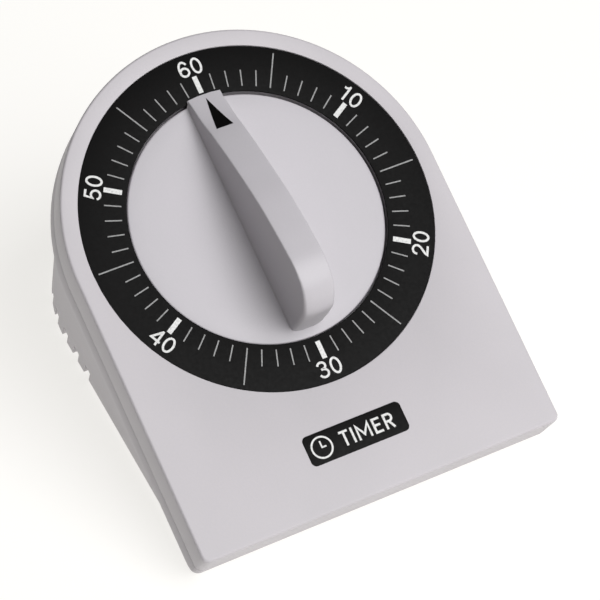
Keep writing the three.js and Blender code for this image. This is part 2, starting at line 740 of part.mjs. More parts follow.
// The rocking anchor: two pallet arms that reach round the escape wheel, and a weighted bar.
function verge() {
  const [front, back] = ESCAPE_LAYER;
  const pinRadius = ESCAPE_RADIUS + 1.4;
  const spread = THREE.MathUtils.degToRad(46);
  const hub = rod(vergeCentre, 2, front, back, 20);
  const arms = [-1, 1].map((side) => {
    const pin = polar(escapeCentre, pinRadius, side * spread);
    const arm = bar(vergeCentre, pin, 0.8, front, back);
    return arm.add(rod(pin, 0.6, front, back, 12));
  });
  const tail = polar(vergeCentre, 5.4, 0);
  const weight = rod(tail, 1.8, front, back, 16);
  const body = united(hub, ...arms, bar(vergeCentre, tail, 0.8, front, back), weight);
  return body.subtract(rod(vergeCentre, ARBOR_RADIUS + FIT, 0, 40, 16));
}

// A straight bar between two points.
function bar(from, to, halfWidth, front, back) {
  const across = to.clone().sub(from).normalize().rotateAround(new THREE.Vector2(), Math.PI / 2);
  across.multiplyScalar(halfWidth);
  return slab([
    from.clone().sub(across),
    to.clone().sub(across),
    to.clone().add(across),
    from.clone().add(across),
  ], front, back);
}

// Disc on the main arbor whose tab meets the stop post at either end of the knob's travel.
const TAB_ANGLE = -Math.PI / 2;
const TAB_TO_POST = THREE.MathUtils.degToRad(5);

function stopCam() {
  const tab = bar(mainCentre, polar(mainCentre, STOP_RADIUS + 0.4, TAB_ANGLE), 0.4, ...CAM_LAYER);
  const disc = rod(mainCentre, 6, ...CAM_LAYER, 32);
  return disc.add(tab).subtract(rod(mainCentre, MAIN_RADIUS + FIT, 0, 40));
}

function stopPost() {
  const at = polar(mainCentre, STOP_RADIUS, TAB_ANGLE + TAB_TO_POST);
  return rod(at, 0.5, CAM_LAYER[0] - 0.4, BACK_PLATE - GAP, 12);
}

// Coiled strip that drives the train, wound round the main arbor.
function mainspring() {
  const turns = 5;
  const stepsPerTurn = 16;
  const inner = MAIN_RADIUS + GAP;
  const outer = 12.8;
  const thickness = 0.4;
  const line = (offset) => Array.from({ length: turns * stepsPerTurn + 1 }, (_, i) => {
    const along = i / (turns * stepsPerTurn);
    return polar(mainCentre, THREE.MathUtils.lerp(inner, outer, along) + offset, 2 * Math.PI * turns * along);
  });
  return slab([...line(0), ...line(thickness).reverse()], ...SPRING_LAYER);
}

function plateOutline() {
  const quarters = [[1, 1], [-1, 1], [-1, -1], [1, -1]];
  return quarters.flatMap(([sideX, sideY], quarter) => {
    const hub = new THREE.Vector2(
      sideX * (PLATE_HALF - PLATE_CORNER),
      PLATE_CENTRE_Y + sideY * (PLATE_HALF - PLATE_CORNER),
    );
    return [0, 1, 2, 3, 4].map((i) => polar(hub, PLATE_CORNER, (Math.PI / 2) * (quarter + i / 4)));
  });
}

function frontPlate() {
  const holes = [
    circle(mainCentre, MAIN_RADIUS + FIT, 24),
    ...trainCentres.map((at) => circle(at, PIVOT_RADIUS + FIT, 12)),
    ...movementScrewCentres.map((at) => circle(at, 1.6, 12)),
  ];
  return slab(plateOutline(), FRONT_PLATE, FRONT_PLATE + PLATE_THICKNESS, holes);
}

// The hammer's arbor passes right through the back plate, so its hole is as wide as the arbor.
function backPlate() {
  const holes = [
    circle(mainCentre, MAIN_PIVOT + FIT, 24),
    ...trainCentres.slice(0, -1).map((at) => circle(at, PIVOT_RADIUS + FIT, 12)),
    circle(HAMMER_PIVOT, ARBOR_RADIUS + FIT, 16),
    ...pillarCentres.map((at) => circle(at, 1 + FIT, 12)),
  ];
  return slab(plateOutline(), BACK_PLATE, BACK_PLATE + PLATE_THICKNESS, holes);
}

// A pillar between the plates, with a stud through the back plate for its nut.
function pillar(at) {
  const front = FRONT_PLATE + PLATE_THICKNESS + GAP;
  const shoulder = BACK_PLATE - GAP;
  const end = BACK_PLATE + PLATE_THICKNESS + 2;
  return turned(at, [[0, front], [2, front], [2, shoulder], [1, shoulder], [1, end], [0, end]], 12);
}

function nut(at, acrossCorners, hole, front, back) {
  return slab(circle(at, acrossCorners / 2, 6), front, back, [circle(at, hole, 12)]);
}

// ---------------------------------------------------------------- bell and hammer

// The bell's mouth faces the movement, and a post holds it by its top.
function bell() {
  const steps = 5;
  const shoulder = BELL_TOP - 6;
  const dome = (radius, top) => Array.from({ length: steps + 1 }, (_, i) => {
    const angle = (Math.PI / 2) * (i / steps) * 0.96;
    return [radius * Math.cos(angle) + 2.3 * Math.sin(angle) * (i / steps) ** 4,
      shoulder + (top - shoulder) * Math.sin(angle)];
  });
  const outer = dome(BELL_RADIUS, BELL_TOP);
  const inner = dome(BELL_RADIUS - BELL_THICKNESS, BELL_TOP - BELL_THICKNESS).reverse();
  const profile = [
    [BELL_RADIUS - BELL_THICKNESS, BELL_MOUTH],
    [BELL_RADIUS, BELL_MOUTH],
    ...outer,
    ...inner,
    [BELL_RADIUS - BELL_THICKNESS, BELL_MOUTH],
  ];
  return turned(BELL_CENTRE, profile, 32);
}

function bellPost() {
  const foot = BACK_PLATE + PLATE_THICKNESS + GAP;
  const shoulder = BELL_TOP - BELL_THICKNESS - GAP;
  const end = BELL_TOP + 2.6;
  return turned(BELL_CENTRE, [[0, foot], [3.4, foot], [3.4, shoulder], [2, shoulder], [2, end],
    [0, end]], 16);
}

function hammerArbor() {
  const front = FRONT_PLATE + 0.1;
  const shoulder = FRONT_PLATE + PLATE_THICKNESS + GAP;
  const end = BELL_MOUTH + 1;
  return turned(HAMMER_PIVOT, [[0, front], [PIVOT_RADIUS, front], [PIVOT_RADIUS, shoulder],
    [ARBOR_RADIUS, shoulder], [ARBOR_RADIUS, end], [0, end]], 12);
}

// Behind the back plate: an arm with a head beside the bell's rim.
function hammer() {
  const front = BACK_PLATE + PLATE_THICKNESS + GAP;
  const back = front + 1.4;
  const head = new THREE.Vector2(21.8, 8.4);
  const hub = rod(HAMMER_PIVOT, 2.2, front, back, 20);
  const body = united(
    hub,
    bar(HAMMER_PIVOT, head, 1, front, back),
    rod(head, 2.4, front, BELL_MOUTH + 3.4, 20),
  );
  return body.subtract(rod(HAMMER_PIVOT, ARBOR_RADIUS + FIT, 0, 60, 16));
}

// Between the plates: the arm that the stop cam's tab passes as the knob comes home.
function tripArm() {
  const end = polar(mainCentre, STOP_RADIUS + 1.6, THREE.MathUtils.degToRad(-8));
  const hub = rod(HAMMER_PIVOT, 2.2, ...CAM_LAYER, 20);
  return hub.add(bar(HAMMER_PIVOT, end, 0.9, ...CAM_LAYER))
    .subtract(rod(HAMMER_PIVOT, ARBOR_RADIUS + FIT, 0, 60, 16));
}

// ---------------------------------------------------------------- assembly

function addNumbered(name, places, make, paint) {
  places.forEach((place, i) => addPiece(`${name}_${i + 1}`, make(place), paint));
}

function addCase() {
  addPiece("front_shell", frontShell(), "shell");
  addPiece("rear_housing", rearHousing(), "shell");
  addPiece("base_plate", basePlate(), "shell");
  addPiece("dial_ring", dialRing(), "ink");
  addPiece("badge", slab(badgeOutline(0), -0.1, 0.8), "ink");
  addNumbered("foot", footPlaces, foot, "rubber");
  addNumbered("base_screw", baseScrewPlaces, baseScrew, "steel");
  const lugBack = FLANGE_BACK - 1;
  const caseScrew = (at) => screw(at, CASE_SCREW_TIP, lugBack + GAP, lugBack + GAP + 1.6);
  addNumbered("case_screw", caseScrewCentres, caseScrew, "steel");
}

function addKnob() {
  addPiece("knob", knob(), "shell");
  addPiece("pointer_mark", pointerMark(), "ink");
  addPiece("main_arbor", mainArbor(), "steel");
  addPiece("main_wheel", wheel(mainCentre, MAIN_MESH, MAIN_LAYER, MAIN_RADIUS + FIT, 5), "brass");
  addPiece("stop_cam", stopCam(), "brass");
}

function addTrain() {
  const bore = ARBOR_RADIUS + FIT;
  addPiece("second_arbor", arbor(secondCentre, MAIN_MESH, MAIN_LAYER), "steel");
  addPiece("second_wheel", wheel(secondCentre, SECOND_MESH, SECOND_LAYER, bore, 4), "brass");
  addPiece("third_arbor", arbor(thirdCentre, SECOND_MESH, SECOND_LAYER), "steel");
  addPiece("third_wheel", wheel(thirdCentre, THIRD_MESH, THIRD_LAYER, bore, 4), "brass");
  addPiece("escape_arbor", arbor(escapeCentre, THIRD_MESH, THIRD_LAYER), "steel");
  addPiece("escape_wheel", escapeWheel(), "brass");
  addPiece("verge_arbor", arbor(vergeCentre, null), "steel");
  addPiece("verge", verge(), "steel");
}

function addMovement() {
  const behindPlate = BACK_PLATE + PLATE_THICKNESS + GAP;
  const frontPlateBack = FRONT_PLATE + PLATE_THICKNESS + GAP;
  addPiece("movement_front_plate", frontPlate(), "brass");
  addPiece("movement_back_plate", backPlate(), "brass");
  addNumbered("pillar", pillarCentres, pillar, "steel");
  const pillarNut = (at) => nut(at, 5, 1 + FIT, behindPlate, behindPlate + 1.2);
  addNumbered("pillar_nut", pillarCentres, pillarNut, "brass");
  const movementScrew = (at) => screw(at, MOVEMENT_SCREW_TIP, frontPlateBack, frontPlateBack + 1.2);
  addNumbered("movement_screw", movementScrewCentres, movementScrew, "steel");
  addPiece("mainspring", mainspring(), "springSteel");
  addPiece("stop_post", stopPost(), "steel");
}

function addBell() {
  addPiece("bell", bell(), "bellMetal");
  addPiece("bell_post", bellPost(), "steel");
  addPiece("bell_nut", nut(BELL_CENTRE, 8, 2 + FIT, BELL_TOP + GAP, BELL_TOP + 2.2), "brass");
  addPiece("hammer_arbor", hammerArbor(), "steel");
  addPiece("hammer", hammer(), "steel");
  addPiece("trip_arm", tripArm(), "steel");
}

addCase();
addKnob();
addTrain();
addMovement();
addBell();

const extent = new THREE.Box3().setFromObject(timer, true);
face.position.y = -(extent.min.y + extent.max.y) / 2;

export default timer;
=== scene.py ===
"""Looks of the wind-up kitchen timer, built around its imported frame.

Pieces are made in millimetres. Those on the case and the knob are made in the dial's own frame: the
origin is the dial's centre on the face, x runs right, y up the face and z out of it. DIAL turns that
frame into the row frame. Those on the underside are made in the row frame's own directions: TABLE
only scales them to metres, and BASE also lifts them to the underside of the case.
"""

import json
import math

import bmesh
import bpy
from mathutils import Matrix, Vector


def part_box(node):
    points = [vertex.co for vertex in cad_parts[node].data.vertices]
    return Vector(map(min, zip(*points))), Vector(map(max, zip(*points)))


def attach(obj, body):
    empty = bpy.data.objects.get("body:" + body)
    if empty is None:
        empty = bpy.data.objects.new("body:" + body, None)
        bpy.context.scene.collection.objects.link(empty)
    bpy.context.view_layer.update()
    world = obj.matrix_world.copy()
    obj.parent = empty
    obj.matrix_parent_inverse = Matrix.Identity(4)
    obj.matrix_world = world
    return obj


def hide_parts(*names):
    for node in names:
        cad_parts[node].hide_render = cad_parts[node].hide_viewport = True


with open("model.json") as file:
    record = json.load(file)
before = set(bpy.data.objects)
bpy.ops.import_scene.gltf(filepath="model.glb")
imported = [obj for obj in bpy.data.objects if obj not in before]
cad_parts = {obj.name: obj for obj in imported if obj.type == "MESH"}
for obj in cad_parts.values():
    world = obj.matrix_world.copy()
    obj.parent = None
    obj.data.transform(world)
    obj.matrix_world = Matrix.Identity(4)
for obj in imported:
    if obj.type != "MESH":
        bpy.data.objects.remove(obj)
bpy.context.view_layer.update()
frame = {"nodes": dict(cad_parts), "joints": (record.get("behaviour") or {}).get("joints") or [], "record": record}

# ---------------------------------------------------------------- places, from the frame

MM = 0.001
JOINTS = {joint["name"]: joint for joint in frame["joints"]}
OUT = -Vector(JOINTS["knob_turn"]["axis"]).normalized()
RIGHT = Vector((1, 0, 0))
UP = OUT.cross(RIGHT)
DIAL_CENTRE = Vector(JOINTS["knob_turn"]["pos_m"])
TURN = Matrix((RIGHT, UP, OUT)).transposed().to_4x4()
DIAL = Matrix.Translation(DIAL_CENTRE) @ TURN @ Matrix.Scale(MM, 4)
TILT = math.acos(OUT.z)
TABLE = Matrix.Scale(MM, 4)


def half_span(node):
    """Half of a CAD node's width, in millimetres."""
    low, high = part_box(node)
    return (high.x - low.x) / 2 / MM


HALF_WIDTH = half_span("front_shell")
RING_OUTER = half_span("dial_ring")
KNOB_RADIUS = half_span("knob")
BASE = Matrix.Translation((0, 0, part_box("base_plate")[0].z)) @ TABLE

# ---------------------------------------------------------------- sizes, in millimetres

FACE_BOTTOM = -64.9  # the face's lower edge, below the dial's centre
CORNER_RADIUS = 1.6
EDGE_RADIUS = 0.55  # rounding of the face's front edge
FACE_MARGIN = 0.12  # a ring of points this far in from the rounding keeps the face flat
WALL = 2.0
FACE_THICKNESS = 2.4
SHELL_DEPTH = 7.0  # this and the other depths are measured behind the face
FRONT_DEPTH = 9.5  # of the case's base, at its front edge
SEAM = 0.06  # gap between the two shells
SEAM_EDGE = 0.08  # size of the softened edges along the seam
FLANGE_BACK = 11.0
SHOULDER_BACK = 19.0
EASE = 1.0  # the wall bends over this length on each side of its corners
HOUSING_INSET = 1.5  # of the wall from the flange, if it ran straight on to it
HOUSING_DRAFT = math.tan(math.radians(9))
HOUSING_BACK = 74.0  # deeper than the wedge is anywhere, before the base cuts it
HOUSING_CORNER = CORNER_RADIUS - 1
HOUSING_BEVEL = 0.3
UNDER_CASE = ((-80, -120, -80), (80, 120, 0))  # a block under the base, wider than the case

RING_INNER = 28.75
RING_FRONT = 0.25
RING_THICKNESS = 0.5
RING_ROUNDING = 0.1
SEAT_GAP = 0.08  # round the dial ring
SEAT_BEHIND = 0.05  # behind the dial ring
SEAT_WIDENING = 0.3  # how much wider the knob's well is than the ring's inner edge
WELL_FLOOR = 4.2
HUB_HOLE = 4.3

KNOB_TOP = 1.2
KNOB_THICKNESS = 2.6
KNOB_ROUNDING = 0.4
DISC_RINGS = (8, 16, 24)  # radii of extra rings of points across the disc's front
HUB_RADIUS = 4.0
HUB_BACK = 7.8
BORE_RADIUS = 2.2
BORE_TOP = 2.4
GRIP_REACH = 29.3
GRIP_CREST = (  # (y, height above the face) of the ridge line, from pointer end to thumb end
    (29.3, 0.4), (24.6, 2.0), (21.7, 3.2), (17.7, 5.2), (11.0, 8.0), (6.5, 9.7), (0.0, 12.0),
    (-7.0, 13.7), (-12.0, 14.6), (-16.0, 15.1), (-19.0, 14.8), (-21.5, 14.0), (-23.2, 12.7),
    (-24.7, 10.9), (-25.9, 8.6), (-26.3, 5.4), (-26.35, 2.0), (-26.35, -1.6),
)
GRIP_SIDES = (  # (y, half-width at the disc, half-width at the crest, height of the crest)
    (30.0, 4.1, 3.9, 0.5), (17.7, 4.1, 3.8, 5.2), (6.5, 4.05, 3.75, 9.7), (-7.0, 4.0, 3.75, 13.7),
    (-16.0, 3.95, 3.7, 15.1), (-28.0, 3.85, 3.65, 15.1),
)
GRIP_FOOT = GRIP_CREST[-1]
GRIP_FILLET = 0.12
GRIP_LIP = 0.1  # height above the face of the pointer end's underside, over the ring
LIP_FROM = KNOB_RADIUS - 0.1  # the underside is raised that high beyond this
THUMB_FROM = -18.0  # the crest's edges grow rounder from here on
THUMB_LENGTH = 8.0
CREST_ROUNDING = (0.35, 0.8)  # at the pointer's side and at the thumb end
CREST_CROWN = 0.03
NOSE_FROM = -20.0  # the thumb end is round in plan from here on
NOSE_ROUNDING = 0.0052
POINTER_TIP = 28.2
POINTER_BASE = 20.0
POINTER_HALF = 2.0
POINTER_PROUD = 0.07
POINTER_THICKNESS = 0.4

TICK_INNER = 29.9
TICK_OUTER = {"minute": 33.6, "five": 38.1, "ten": 33.9}
TICK_WIDTH = {"minute": 0.27, "five": 0.29, "ten": 1.1}
NUMERAL_RADIUS = 36.1
NUMERAL_HEIGHT = 3.8
NUMERAL_WEIGHT = 0.13
PRINT_PROUD = 0.05
PRINT_THICKNESS = 0.1
STROKE_STEP = 0.006  # between the heights of strokes that cross

BADGE_CENTRE = (-1.0, -51.4)
BADGE_HALF = (11.8, 3.4)
BADGE_CORNER = 1.2
BADGE_FRONT = 0.1
BADGE_BACK = -0.8
BADGE_EDGE = 0.12
WORD = "TIMER"
WORD_X = 2.7
WORD_HEIGHT = 3.4
WORD_WEIGHT = 0.15
SIGN_X = -9.2
SIGN_RADIUS = 2.3
SIGN_RIM_WEIGHT = 0.8  # weights of the sign's strokes, as parts of the word's
SIGN_HAND_WEIGHT = 0.7
SIGN_HANDS = (0.62, 0.45)  # lengths of the clock's hands, as parts of its radius

NOTCH_COUNT = 5
NOTCH_PITCH = 6.6
FIRST_NOTCH = 64.0  # distance back from the base's front edge
NOTCH_WIDTH = 2.4
NOTCH_LENGTH = 6.4

FOOT_ROUNDING = 0.25
FOOT_HOLLOW = 0.12
FOOT_CHAMFER = 0.45
SCREW_HEAD_RADIUS = 2.6
SCREW_HEAD_FLAT = 1.7
SCREW_HEAD_CROWN = 0.3
SCREW_HEAD_THICKNESS = 0.7
SCREW_RADIUS = 1.3
SCREW_ROUNDING = 0.15
SCREW_SLOT_HALF = (2.0, 0.3)
SCREW_SLOT_DEPTH = 0.45
CUT_MARGIN = 1.0  # how far a cutter reaches past what it cuts

# numbers of points along the face's outline, and of rings down the housing's wall
ARCH_STEPS = 128
CORNER_STEPS = 8
SIDE_STEPS = 16
BOTTOM_STEPS = 24
WALL_STEPS = 18

# numbers of points round the turned pieces
RING_STEPS = 256
KNOB_STEPS = 192
FOOT_STEPS = 64
SCREW_STEPS = 48

SHARP_ANGLE = math.radians(32)  # faces that meet at more than this keep a sharp edge
BEVEL_ANGLE = math.radians(40)
BEVEL_SEGMENTS = 2


# ---------------------------------------------------------------- mesh helpers


def new_piece(name, mesh, material, body, replaced=()):
    """Places a finished mesh, already in the row frame, as a piece of the object."""
    piece = bpy.data.objects.new(name, mesh)
    bpy.context.scene.collection.objects.link(piece)
    mesh.materials.clear()
    mesh.materials.append(material)
    mesh.shade_smooth()
    mesh.set_sharp_from_angle(angle=SHARP_ANGLE)
    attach(piece, body)
    if replaced:
        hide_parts(*replaced)


def mesh_of(bm, name, matrix=DIAL):
    """Closes up a bmesh made in millimetres and brings it into the row frame."""
    bmesh.ops.remove_doubles(bm, verts=bm.verts, dist=1e-4)
    bmesh.ops.dissolve_degenerate(bm, edges=bm.edges, dist=1e-5)
    bmesh.ops.recalc_face_normals(bm, faces=bm.faces)
    bm.transform(matrix)
    mesh = bpy.data.meshes.new(name)
    bm.to_mesh(mesh)
    bm.free()
    return mesh


def lofted(rings, closed=False):
    """A bmesh skin through rings of equally many points, capped unless it closes on itself."""
    bm = bmesh.new()
    rows = [[bm.verts.new(point) for point in ring] for ring in rings]
    count = len(rows[0])
    pairs = list(zip(rows, rows[1:]))
    if closed:
        pairs.append((rows[-1], rows[0]))
    for low, high in pairs:
        for i in range(count):
            j = (i + 1) % count
            bm.faces.new((low[i], low[j], high[j], high[i]))
    if not closed:
        bm.faces.new(reversed(rows[0]))
        bm.faces.new(rows[-1])
    return bm


def turned(profile, steps, centre=(0, 0)):
    """A bmesh turned about an upright axis; the profile of (radius, z) points closes on itself."""
    rings = []
    for radius, z in profile:
        radius = max(radius, 1e-5)
        rings.append([
            Vector((
                centre[0] + radius * math.cos(2 * math.pi * i / steps),
                centre[1] + radius * math.sin(2 * math.pi * i / steps),
                z,
            ))
            for i in range(steps)
        ])
    return lofted(rings, closed=True)


def rounded(profile, radius):
    """Rounds the corners of a closed (radius, z) profile, leaving those on the axis."""
    steps = 4
    longest_share = 0.45
    made = []
    count = len(profile)
    for i, corner in enumerate(profile):
        here = Vector(corner)
        before = Vector(profile[i - 1]) - here
        after = Vector(profile[(i + 1) % count]) - here
        reach = min(radius, before.length * longest_share, after.length * longest_share)
        if corner[0] < 1e-3 or reach < 1e-3:
            made.append(tuple(here))
            continue
        start = here + before.normalized() * reach
        end = here + after.normalized() * reach
        for k in range(steps + 1):
            t = k / steps
            made.append(tuple(start * (1 - t) ** 2 + here * 2 * t * (1 - t) + end * t * t))
    return made


def box_bmesh(low, high):
    """A block between two opposite corners."""
    bm = bmesh.new()
    bmesh.ops.create_cube(bm, size=1)
    size = [b - a for a, b in zip(low, high)]
    middle = [(a + b) / 2 for a, b in zip(low, high)]
    bm.transform(Matrix.Translation(middle) @ Matrix.Diagonal((*size, 1)))
    return bm


def cut_by(mesh, tools, name):
    """The mesh cut by other meshes in turn."""
    carrier = bpy.data.objects.new(name, mesh)
    bpy.context.scene.collection.objects.link(carrier)
    helpers = []
    for i, tool in enumerate(tools):
        helper = bpy.data.objects.new(f"{name}_tool_{i}", tool)
        bpy.context.scene.collection.objects.link(helper)
        helpers.append(helper)
        modifier = carrier.modifiers.new("shape", "BOOLEAN")
        modifier.operation = "DIFFERENCE"
        modifier.solver = "EXACT"
        modifier.object = helper
    made = applied(carrier)
    for helper in helpers:
        bpy.data.objects.remove(helper)
    return made


def applied(carrier):
    """The carrier's mesh with its modifiers applied. The carrier is removed."""
    bpy.context.view_layer.update()
    graph = bpy.context.evaluated_depsgraph_get()
    made = bpy.data.meshes.new_from_object(carrier.evaluated_get(graph))
    made.name = carrier.name
    bpy.data.objects.remove(carrier)
    return made


def bevelled(mesh, width):
    """The mesh with its sharp edges rounded; width is in millimetres."""
    carrier = bpy.data.objects.new(mesh.name, mesh)
    bpy.context.scene.collection.objects.link(carrier)
    modifier = carrier.modifiers.new("edges", "BEVEL")
    modifier.width = width * MM
    modifier.segments = BEVEL_SEGMENTS
    modifier.limit_method = "ANGLE"
    modifier.angle_limit = BEVEL_ANGLE
    modifier.use_clamp_overlap = True
    return applied(carrier)


# ---------------------------------------------------------------- outlines


def tombstone(half_width, bottom, corner):
    """The face's outline, always with the same number of points in the same order."""
    smallest_corner = 0.05
    points = []
    corner = max(corner, smallest_corner)
    for side, start in ((-1, math.pi), (1, 1.5 * math.pi)):
        centre = (side * (half_width - corner), bottom + corner)
        for i in range(CORNER_STEPS + 1):
            angle = start + math.pi / 2 * i / CORNER_STEPS
            x = centre[0] + corner * math.cos(angle)
            points.append((x, centre[1] + corner * math.sin(angle)))
        if side < 0:
            width = 2 * (half_width - corner)
            for i in range(1, BOTTOM_STEPS):
                points.append((-half_width + corner + width * i / BOTTOM_STEPS, bottom))
    side_height = -bottom - corner
    for i in range(1, SIDE_STEPS):
        points.append((half_width, bottom + corner + side_height * i / SIDE_STEPS))
    for i in range(ARCH_STEPS + 1):
        angle = math.pi * i / ARCH_STEPS
        points.append((half_width * math.cos(angle), half_width * math.sin(angle)))
    for i in range(1, SIDE_STEPS):
        points.append((-half_width, -side_height * i / SIDE_STEPS))
    return points


def outline_ring(inset, depth):
    """The face's outline drawn in by an inset, at a depth behind the face."""
    outline = tombstone(HALF_WIDTH - inset, FACE_BOTTOM + inset, CORNER_RADIUS - inset / 2)
    return [Vector((x, y, -depth)) for x, y in outline]


OUTLINE_ANGLES = [math.atan2(y, x) for x, y in tombstone(HALF_WIDTH, FACE_BOTTOM, CORNER_RADIUS)]


def round_ring(radius, depth):
    """A circle with a point for each point of the outline, in the same directions."""
    return [Vector((radius * math.cos(a), radius * math.sin(a), -depth)) for a in OUTLINE_ANGLES]


def housing_ring(inset, depth):
    """The rear housing's drafted wall at a depth behind the face."""
    half_width = HALF_WIDTH - HOUSING_INSET - inset - (depth - FLANGE_BACK) * HOUSING_DRAFT
    outline = tombstone(half_width, FACE_BOTTOM + inset, HOUSING_CORNER)
    return [Vector((x, y, -depth)) for x, y in outline]


# ---------------------------------------------------------------- material helpers


NOISE_RANGE = (0.3, 0.7)


class Recipe:
    """A material's node tree, with short ways to add the nodes that surfaces share."""

    def __init__(self, name):
        self.material = bpy.data.materials.new(name)
        self.material.use_nodes = True
        self.nodes = self.material.node_tree.nodes
        self.links = self.material.node_tree.links
        self.shader = self.nodes["Principled BSDF"]
        self.place = self.nodes.new("ShaderNodeTexCoord").outputs["Object"]

    def set(self, **values):
        """Sets the shader's own sockets; an underscore stands for a space in a socket's name."""
        for name, value in values.items():
            self.shader.inputs[name.replace("_", " ")].default_value = value

    def stretched(self, scale):
        """Object coordinates scaled differently along each axis."""
        mapping = self.nodes.new("ShaderNodeMapping")
        mapping.inputs["Scale"].default_value = scale
        self.links.new(self.place, mapping.inputs["Vector"])
        return mapping.outputs["Vector"]

    def noise(self, size_mm, detail=3, roughness=0.5, place=None):
        """Noise whose largest features are about size_mm across."""
        node = self.nodes.new("ShaderNodeTexNoise")
        node.inputs["Scale"].default_value = 1 / (size_mm * MM)
        node.inputs["Detail"].default_value = detail
        node.inputs["Roughness"].default_value = roughness
        self.links.new(place or self.place, node.inputs["Vector"])
        return node.outputs["Fac"]

    def ramp(self, value, stops):
        """Colours along a value: stops are (position, (r, g, b))."""
        node = self.nodes.new("ShaderNodeValToRGB")
        while len(node.color_ramp.elements) < len(stops):
            node.color_ramp.elements.new(0.5)
        for element, (position, colour) in zip(node.color_ramp.elements, stops):
            element.position = position
            element.color = (*colour, 1)
        self.links.new(value, node.inputs["Fac"])
        return node.outputs["Color"]

    def mapped(self, value, low, high):
        """Noise brought to low..high from the range that most of it lies in."""
        node = self.nodes.new("ShaderNodeMapRange")
        ends = (*NOISE_RANGE, low, high)
        for name, number in zip(("From Min", "From Max", "To Min", "To Max"), ends):
            node.inputs[name].default_value = number
        self.links.new(value, node.inputs["Value"])
        return node.outputs["Result"]

    def mixed(self, factor, first, second):
        """A colour mix; first and second are colour outputs."""
        node = self.nodes.new("ShaderNodeMix")
        node.data_type = "RGBA"
        self.links.new(factor, node.inputs["Factor"])
        self.links.new(first, node.inputs["A"])
        self.links.new(second, node.inputs["B"])
        return node.outputs["Result"]

    def bump(self, height, depth_mm, strength, after=None):
        """A bump of that depth, laid over an earlier one if there is one."""
        node = self.nodes.new("ShaderNodeBump")
        node.inputs["Strength"].default_value = strength
        node.inputs["Distance"].default_value = depth_mm * MM
        self.links.new(height, node.inputs["Height"])
        if after is not None:
            self.links.new(after, node.inputs["Normal"])
        return node.outputs["Normal"]

    def use(self, colour, roughness, normal):
        """Joins the outputs to the shader and gives the finished material."""
        for socket, output in (("Base Color", colour), ("Roughness", roughness), ("Normal", normal)):
            self.links.new(output, self.shader.inputs[socket])
        return self.material


# ---------------------------------------------------------------- materials


def moulded_plastic(name, pale, dark, roughness):
    """Satin moulded plastic: fine spark-eroded grain and pores, and faint flow marks."""
    recipe = Recipe(name)
    recipe.set(IOR=1.46, Specular_IOR_Level=0.42)
    flow = recipe.noise(22, detail=2, place=recipe.stretched((1, 0.6, 1)))
    grain = recipe.noise(0.16, detail=2, roughness=0.6)
    pores = recipe.noise(0.45, detail=3)
    tone = recipe.ramp(flow, ((0.35, dark), (0.65, pale)))
    speckle = recipe.ramp(pores, ((0.42, dark), (0.6, pale)))
    colour = recipe.mixed(recipe.mapped(grain, 0.15, 0.45), tone, speckle)
    rough = recipe.mapped(pores, roughness - 0.05, roughness + 0.06)
    coarse = recipe.bump(pores, 0.012, 0.6)
    normal = recipe.bump(grain, 0.006, 0.7, after=coarse)
    return recipe.use(colour, rough, normal)


def black_print():
    """Satin black ink with a faint orange-peel surface."""
    recipe = Recipe("black_print")
    recipe.set(IOR=1.5, Specular_IOR_Level=0.06)
    peel = recipe.noise(0.7, detail=2)
    dust = recipe.noise(0.12, detail=2, roughness=0.7)
    colour = recipe.ramp(dust, ((0.45, (0.0024, 0.0022, 0.0022)), (0.72, (0.0048, 0.0045, 0.0045))))
    rough = recipe.mapped(peel, 0.36, 0.48)
    return recipe.use(colour, rough, recipe.bump(peel, 0.006, 0.6))


def pale_print(name, thin, full):
    """Light ink on black: slightly thin and uneven, so that the black shows through."""
    recipe = Recipe(name)
    recipe.set(IOR=1.48, Specular_IOR_Level=0.3)
    cover = recipe.noise(0.35, detail=3, roughness=0.6)
    colour = recipe.ramp(cover, ((0.3, thin), (0.55, full)))
    rough = recipe.mapped(cover, 0.5, 0.6)
    return recipe.use(colour, rough, recipe.bump(cover, 0.004, 0.5))


def rubber():
    """Matt black rubber with fine pores and pale scuffs."""
    recipe = Recipe("rubber")
    recipe.set(Specular_IOR_Level=0.3)
    pores = recipe.noise(0.3, detail=4, roughness=0.65)
    scuffs = recipe.noise(2.5, detail=3)
    colour = recipe.ramp(scuffs, ((0.4, (0.018, 0.018, 0.018)), (0.75, (0.06, 0.058, 0.055))))
    rough = recipe.mapped(pores, 0.75, 0.95)
    return recipe.use(colour, rough, recipe.bump(pores, 0.03, 0.7))


def brushed_metal(name, pale, dark, roughness, grain=(1, 12, 12)):
    """Rolled or turned metal: fine drawn scratches and patches of tarnish."""
    recipe = Recipe(name)
    recipe.set(Metallic=1.0)
    scratches = recipe.noise(0.9, detail=5, roughness=0.7, place=recipe.stretched(grain))
    tarnish = recipe.noise(4, detail=4, roughness=0.6)
    shine = recipe.ramp(scratches, ((0.35, dark), (0.65, pale)))
    dull = recipe.ramp(tarnish, ((0.3, dark), (0.6, pale)))
    colour = recipe.mixed(recipe.mapped(tarnish, 0.1, 0.6), shine, dull)
    rough = recipe.mapped(scratches, roughness - 0.08, roughness + 0.12)
    return recipe.use(colour, rough, recipe.bump(scratches, 0.004, 0.6))


